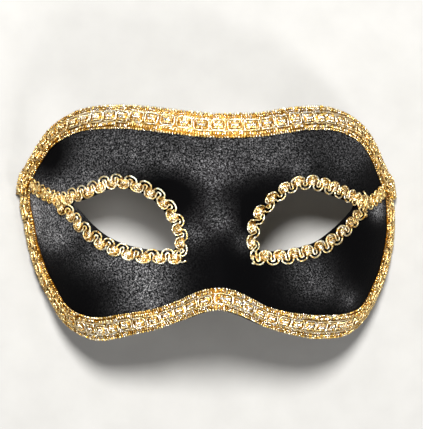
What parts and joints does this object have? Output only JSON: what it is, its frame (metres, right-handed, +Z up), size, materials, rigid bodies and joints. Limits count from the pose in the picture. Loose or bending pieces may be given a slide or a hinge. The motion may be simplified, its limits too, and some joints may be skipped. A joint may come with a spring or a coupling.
{
  "type": "velvet eye mask",
  "caption": "Half mask for the eyes: a bent papier-mache shell covered in black velvet, edged with gold braid and with gold gimp round the eye holes.",
  "frame": {"origin": "middle of the outline, on the table that the mask lies on", "axes": "+Z up, out of the mask's face; +Y towards its top edge; +X towards the right as seen from the front"},
  "size_m": [0.1752, 0.1042, 0.0744],
  "materials": {
    "papier_mache": "dry moulded paper, sized with glue",
    "velvet": "short black pile with a soft grey sheen",
    "gold_braid": "braid woven from metallic gold thread",
    "gold_gimp": "scroll gimp of wrapped gold cord"
  },
  "bodies": {
    "root": {"mask_base": "papier_mache", "velvet_cover": "velvet", "border_braid_upper": "gold_braid", "border_braid_lower": "gold_braid", "eye_braid_left_upper": "gold_gimp", "eye_braid_left_lower": "gold_gimp", "eye_braid_right_upper": "gold_gimp", "eye_braid_right_lower": "gold_gimp"}
  },
  "joints": []
}
